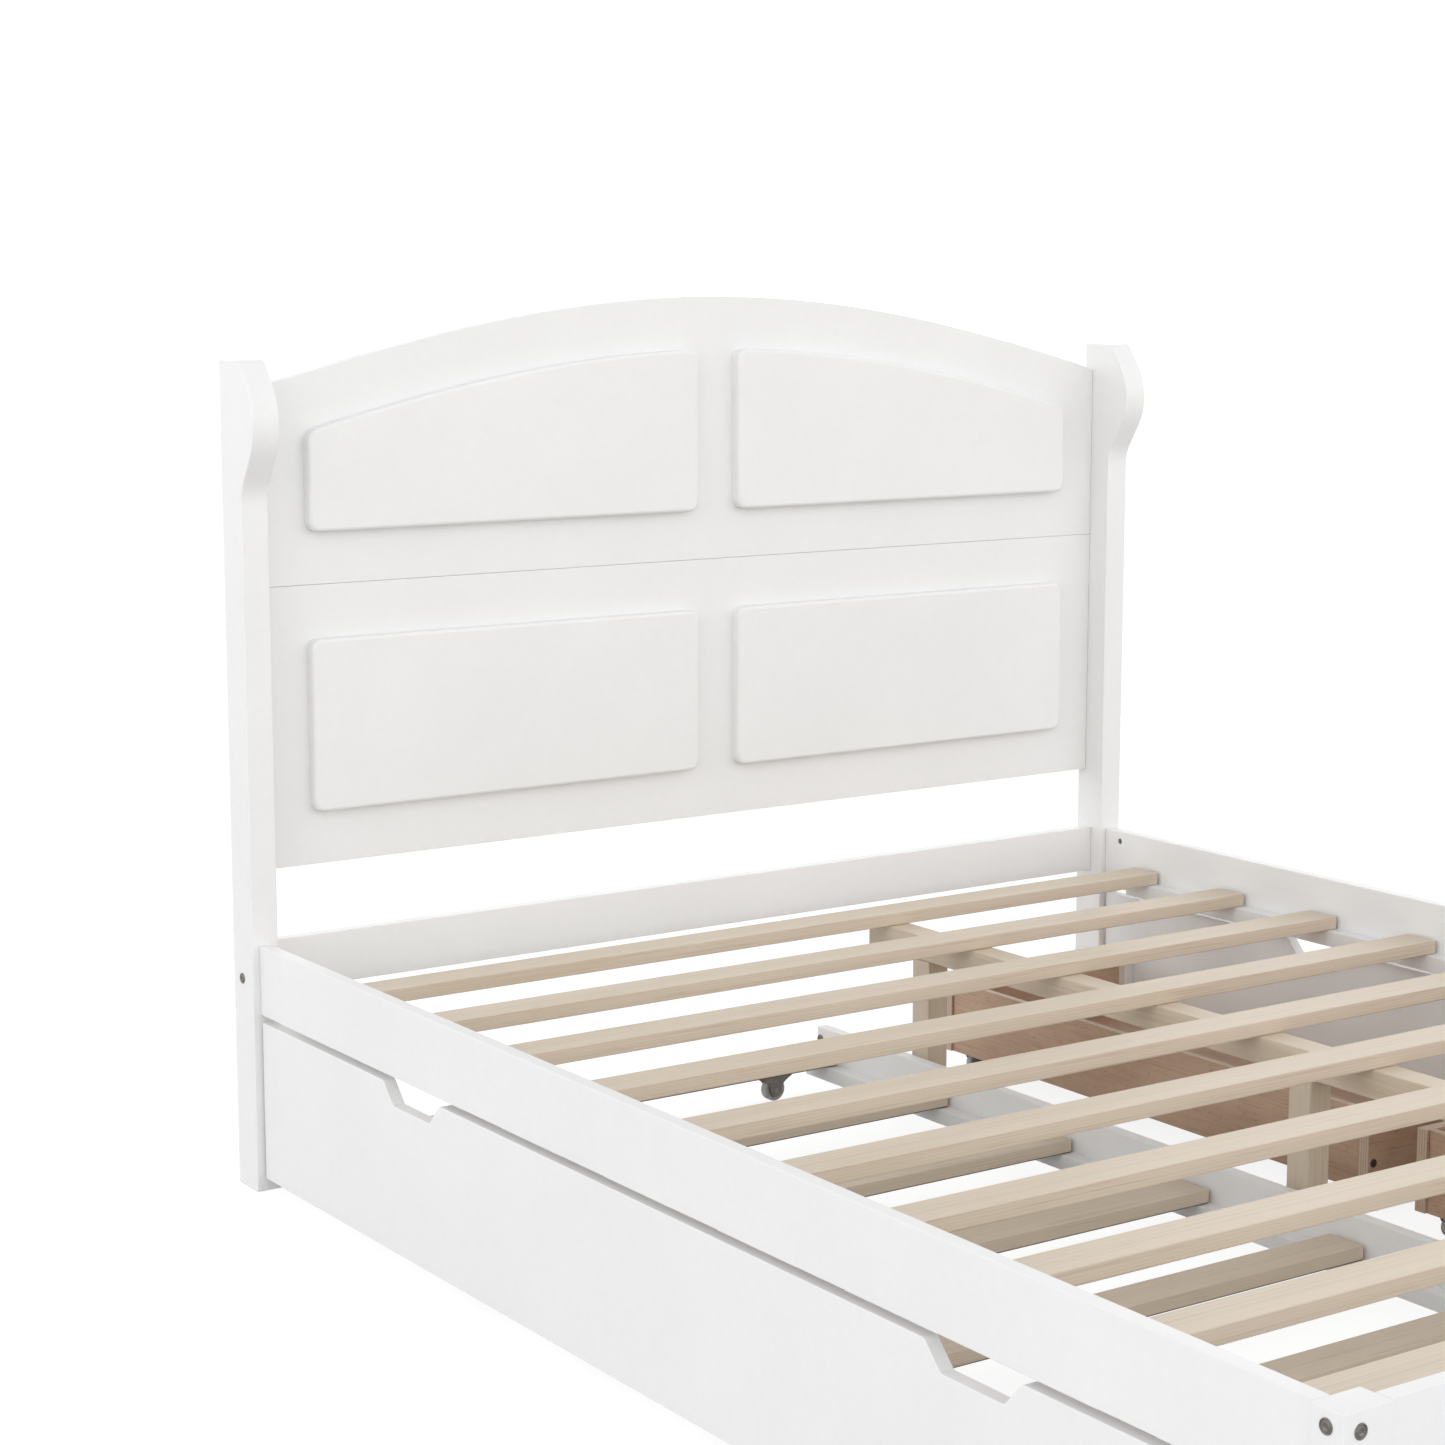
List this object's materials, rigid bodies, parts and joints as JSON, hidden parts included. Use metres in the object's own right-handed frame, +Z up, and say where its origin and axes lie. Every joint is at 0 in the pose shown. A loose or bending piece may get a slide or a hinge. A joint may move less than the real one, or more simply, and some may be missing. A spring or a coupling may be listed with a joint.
{
  "type": "trundle bed",
  "caption": "Queen bed with an arched panelled headboard, slatted deck, a low roll-out trundle on one side and roll-out storage drawers on the other.",
  "frame": {"origin": "on the floor, under the middle of the bed's plan", "axes": "+Y toward the headboard, +X toward the drawers, +Z up"},
  "size_m": [1.598, 2.111, 1.24],
  "materials": {
    "white_paint": "satin white paint on wood",
    "natural_wood": "planed pale softwood, clear matt",
    "plywood": "stained reddish brown, satin",
    "caster_steel": "black, semi-gloss",
    "caster_wheel": "grey nylon"
  },
  "bodies": {
    "bed": {"head_post_left": "white_paint", "head_post_right": "white_paint", "headboard_upper": "white_paint", "headboard_lower": "white_paint", "head_rail": "white_paint", "side_rail_left": "white_paint", "side_rail_right": "white_paint", "foot_rail": "white_paint", "foot_post_left": "white_paint", "foot_post_right": "white_paint", "centre_beam": "natural_wood", "centre_leg_head": "natural_wood", "centre_leg_middle": "natural_wood", "centre_leg_foot": "natural_wood", "bed_slat_01": "natural_wood", "bed_slat_02": "natural_wood", "bed_slat_03": "natural_wood", "bed_slat_04": "natural_wood", "bed_slat_05": "natural_wood", "bed_slat_06": "natural_wood", "bed_slat_07": "natural_wood", "bed_slat_08": "natural_wood", "bed_slat_09": "natural_wood", "bed_slat_10": "natural_wood"},
    "trundle": {"trundle_front": "white_paint", "trundle_back_rail": "white_paint", "trundle_slat_1": "natural_wood", "trundle_slat_2": "natural_wood", "trundle_slat_3": "natural_wood", "trundle_slat_4": "natural_wood", "trundle_slat_5": "natural_wood", "trundle_slat_6": "natural_wood", "trundle_slat_7": "natural_wood", "trundle_slat_8": "natural_wood", "trundle_caster_1": "caster_steel", "trundle_caster_2": "caster_steel", "trundle_caster_3": "caster_steel", "trundle_caster_4": "caster_steel"},
    "drawer_1": {"drawer_1_front": "white_paint", "drawer_1_side_head": "plywood", "drawer_1_side_foot": "plywood", "drawer_1_back": "plywood", "drawer_1_bottom": "plywood"},
    "drawer_2": {"drawer_2_front": "white_paint", "drawer_2_side_head": "plywood", "drawer_2_side_foot": "plywood", "drawer_2_back": "plywood", "drawer_2_bottom": "plywood"},
    "trundle_wheel_1": {"trundle_wheel_1": "caster_wheel"},
    "trundle_wheel_2": {"trundle_wheel_2": "caster_wheel"},
    "trundle_wheel_3": {"trundle_wheel_3": "caster_wheel"},
    "trundle_wheel_4": {"trundle_wheel_4": "caster_wheel"},
    "drawer_1_wheel_1": {"drawer_1_wheel_1": "caster_wheel"},
    "drawer_1_wheel_2": {"drawer_1_wheel_2": "caster_wheel"},
    "drawer_1_wheel_3": {"drawer_1_wheel_3": "caster_wheel"},
    "drawer_1_wheel_4": {"drawer_1_wheel_4": "caster_wheel"},
    "drawer_2_wheel_1": {"drawer_2_wheel_1": "caster_wheel"},
    "drawer_2_wheel_2": {"drawer_2_wheel_2": "caster_wheel"},
    "drawer_2_wheel_3": {"drawer_2_wheel_3": "caster_wheel"},
    "drawer_2_wheel_4": {"drawer_2_wheel_4": "caster_wheel"}
  },
  "joints": [
    {"name": "trundle_slide", "type": "slide", "parent": "bed", "child": "trundle", "axis": [-1, 0, 0], "range_m": [0, 0.9]},
    {"name": "drawer_1_slide", "type": "slide", "parent": "bed", "child": "drawer_1", "axis": [1, 0, 0], "range_m": [0, 0.35]},
    {"name": "drawer_2_slide", "type": "slide", "parent": "bed", "child": "drawer_2", "axis": [1, 0, 0], "range_m": [0, 0.35]},
    {"name": "trundle_wheel_1_spin", "type": "hinge", "parent": "trundle", "child": "trundle_wheel_1", "pos_m": [-0.6691, 0.9715, 0.018], "axis": [0, 1, 0], "continuous": true},
    {"name": "trundle_wheel_2_spin", "type": "hinge", "parent": "trundle", "child": "trundle_wheel_2", "pos_m": [0.0683, 0.9715, 0.018], "axis": [0, 1, 0], "continuous": true},
    {"name": "trundle_wheel_3_spin", "type": "hinge", "parent": "trundle", "child": "trundle_wheel_3", "pos_m": [-0.6691, -0.9935, 0.018], "axis": [0, 1, 0], "continuous": true},
    {"name": "trundle_wheel_4_spin", "type": "hinge", "parent": "trundle", "child": "trundle_wheel_4", "pos_m": [0.0683, -0.9935, 0.018], "axis": [0, 1, 0], "continuous": true},
    {"name": "drawer_1_wheel_1_spin", "type": "hinge", "parent": "drawer_1", "child": "drawer_1_wheel_1", "pos_m": [0.437, 0.9255, 0.015], "axis": [0, 1, 0], "continuous": true},
    {"name": "drawer_1_wheel_2_spin", "type": "hinge", "parent": "drawer_1", "child": "drawer_1_wheel_2", "pos_m": [0.7255, 0.9255, 0.015], "axis": [0, 1, 0], "continuous": true},
    {"name": "drawer_1_wheel_3_spin", "type": "hinge", "parent": "drawer_1", "child": "drawer_1_wheel_3", "pos_m": [0.437, 0.0575, 0.015], "axis": [0, 1, 0], "continuous": true},
    {"name": "drawer_1_wheel_4_spin", "type": "hinge", "parent": "drawer_1", "child": "drawer_1_wheel_4", "pos_m": [0.7255, 0.0575, 0.015], "axis": [0, 1, 0], "continuous": true},
    {"name": "drawer_2_wheel_1_spin", "type": "hinge", "parent": "drawer_2", "child": "drawer_2_wheel_1", "pos_m": [0.437, -0.0795, 0.015], "axis": [0, 1, 0], "continuous": true},
    {"name": "drawer_2_wheel_2_spin", "type": "hinge", "parent": "drawer_2", "child": "drawer_2_wheel_2", "pos_m": [0.7255, -0.0795, 0.015], "axis": [0, 1, 0], "continuous": true},
    {"name": "drawer_2_wheel_3_spin", "type": "hinge", "parent": "drawer_2", "child": "drawer_2_wheel_3", "pos_m": [0.437, -0.9475, 0.015], "axis": [0, 1, 0], "continuous": true},
    {"name": "drawer_2_wheel_4_spin", "type": "hinge", "parent": "drawer_2", "child": "drawer_2_wheel_4", "pos_m": [0.7255, -0.9475, 0.015], "axis": [0, 1, 0], "continuous": true}
  ],
  "couplings": [
    {"joint": "trundle_wheel_1_spin", "follows": "trundle_slide", "rad_per_m": -55.556},
    {"joint": "trundle_wheel_2_spin", "follows": "trundle_slide", "rad_per_m": -55.556},
    {"joint": "trundle_wheel_3_spin", "follows": "trundle_slide", "rad_per_m": -55.556},
    {"joint": "trundle_wheel_4_spin", "follows": "trundle_slide", "rad_per_m": -55.556},
    {"joint": "drawer_1_wheel_1_spin", "follows": "drawer_1_slide", "rad_per_m": 66.667},
    {"joint": "drawer_1_wheel_2_spin", "follows": "drawer_1_slide", "rad_per_m": 66.667},
    {"joint": "drawer_1_wheel_3_spin", "follows": "drawer_1_slide", "rad_per_m": 66.667},
    {"joint": "drawer_1_wheel_4_spin", "follows": "drawer_1_slide", "rad_per_m": 66.667},
    {"joint": "drawer_2_wheel_1_spin", "follows": "drawer_2_slide", "rad_per_m": 66.667},
    {"joint": "drawer_2_wheel_2_spin", "follows": "drawer_2_slide", "rad_per_m": 66.667},
    {"joint": "drawer_2_wheel_3_spin", "follows": "drawer_2_slide", "rad_per_m": 66.667},
    {"joint": "drawer_2_wheel_4_spin", "follows": "drawer_2_slide", "rad_per_m": 66.667}
  ]
}
